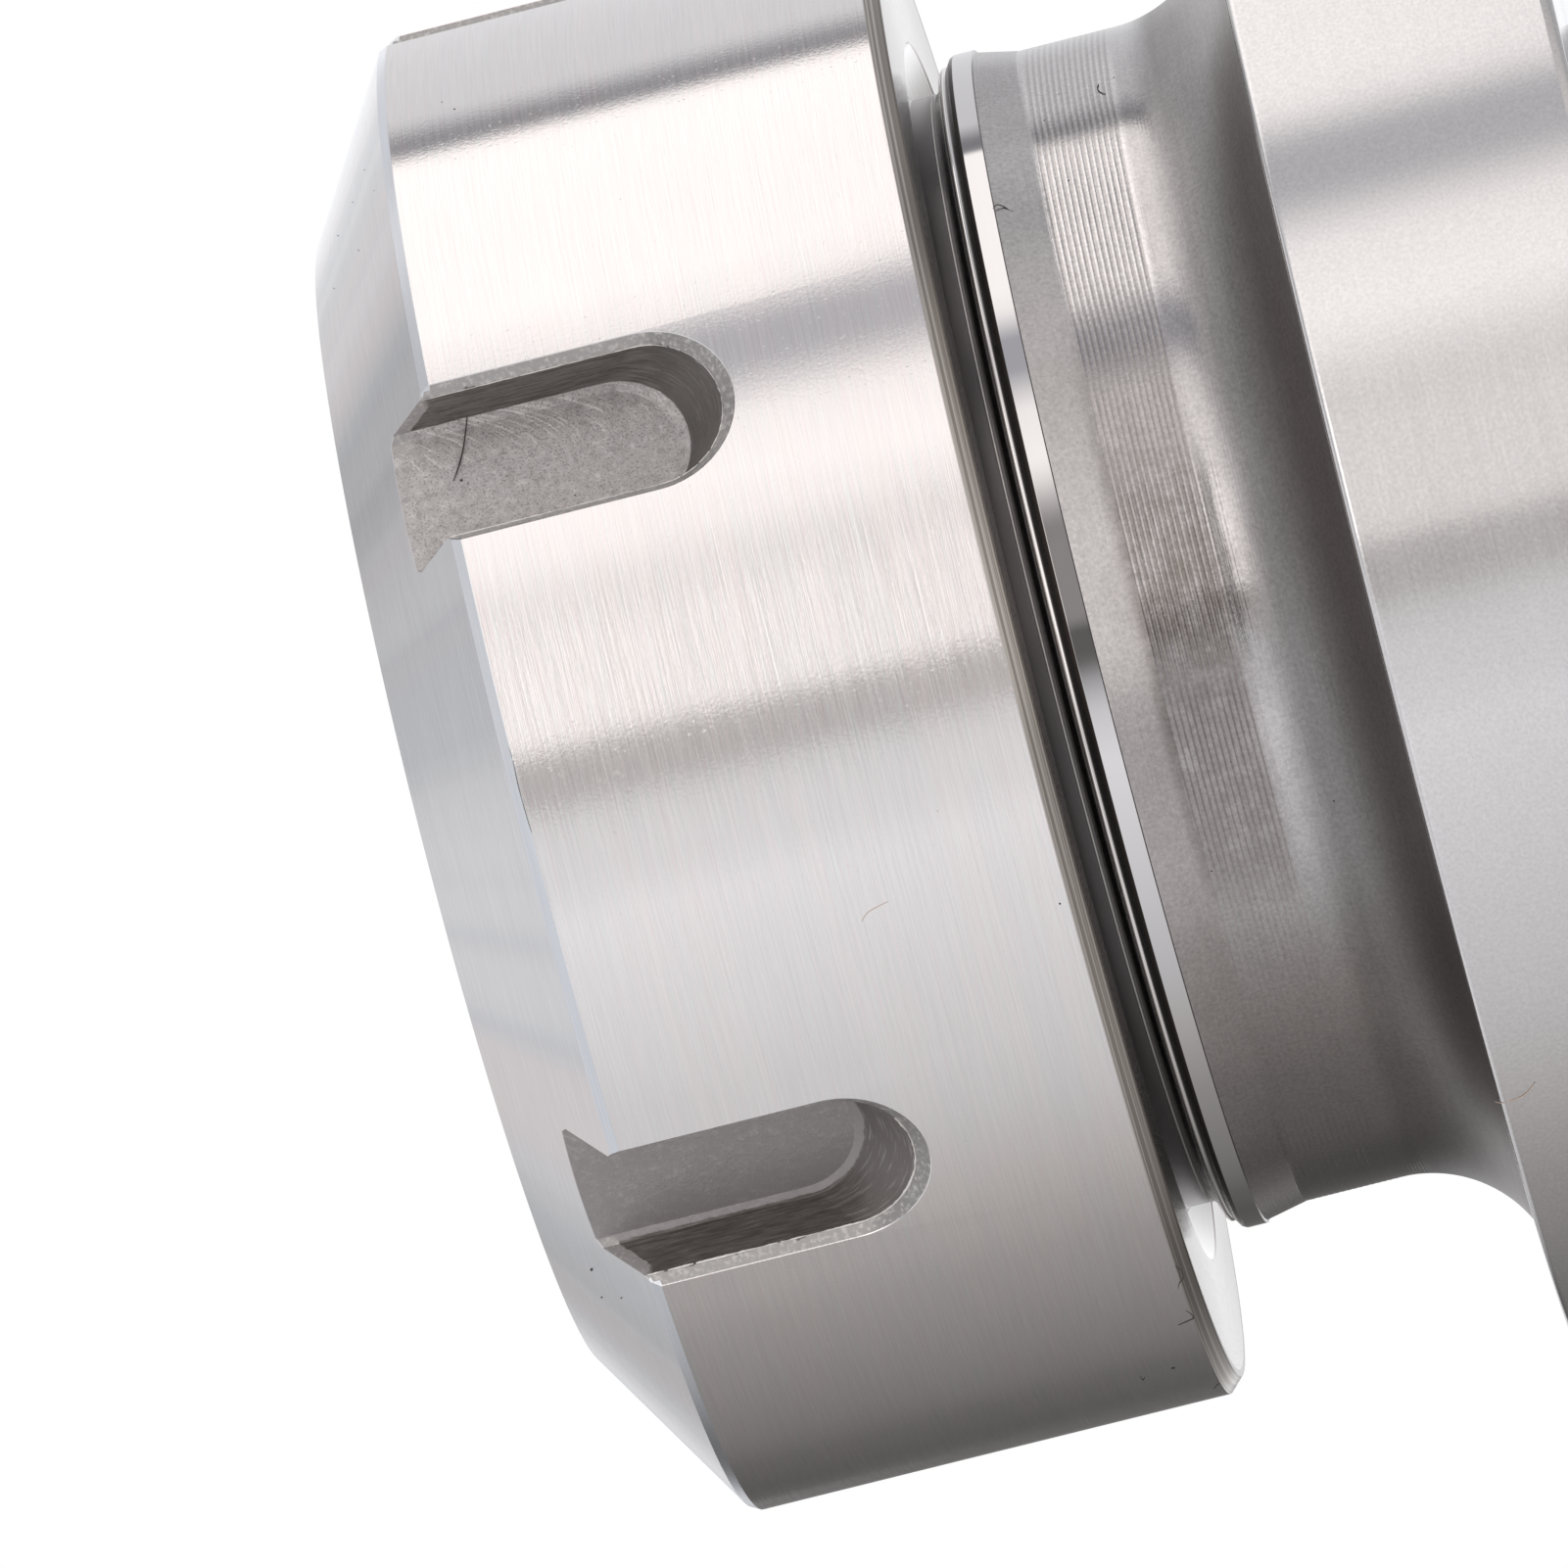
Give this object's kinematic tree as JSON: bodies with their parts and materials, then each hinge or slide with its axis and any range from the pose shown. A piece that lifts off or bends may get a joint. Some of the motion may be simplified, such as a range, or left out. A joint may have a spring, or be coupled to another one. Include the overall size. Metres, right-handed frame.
{
  "type": "collet chuck",
  "caption": "Collet chuck on a plain round shank: slotted clamping nut on a threaded nose, slit spring collet in a conical seat, and a stop screw behind it.",
  "frame": {"origin": "centre of the shank's end face, on the turning axis", "axes": "+Z along the turning axis, from the shank's end to the nut's front face; +X through the middle of a gap between two spanner slots"},
  "size_m": [0.068, 0.068, 0.1221],
  "materials": {
    "ground_steel": "hardened steel, finely turned and ground",
    "nut_steel": "hardened steel, fine turned, with milled slots",
    "spring_steel": "ground spring steel",
    "dark_steel": "blackened steel"
  },
  "bodies": {
    "chuck": {"chuck_body": "ground_steel"},
    "collet": {"spring_collet": "spring_steel"},
    "nut": {"clamping_nut": "nut_steel"},
    "stop": {"stop_screw": "dark_steel"}
  },
  "joints": [
    {"name": "collet_travel", "type": "slide", "parent": "chuck", "child": "collet", "axis": [0, 0, 1], "range_m": [0, 0.009]},
    {"name": "nut_turn", "type": "hinge", "parent": "collet", "child": "nut", "pos_m": [0, 0, 0.11], "axis": [0, 0, 1], "range_deg": [0, 2160]},
    {"name": "stop_screw_travel", "type": "slide", "parent": "chuck", "child": "stop", "axis": [0, 0, 1], "range_m": [-0.014, 0.006]}
  ],
  "couplings": [
    {"joint": "collet_travel", "follows": "nut_turn", "m_per_rad": 0.00023873}
  ]
}
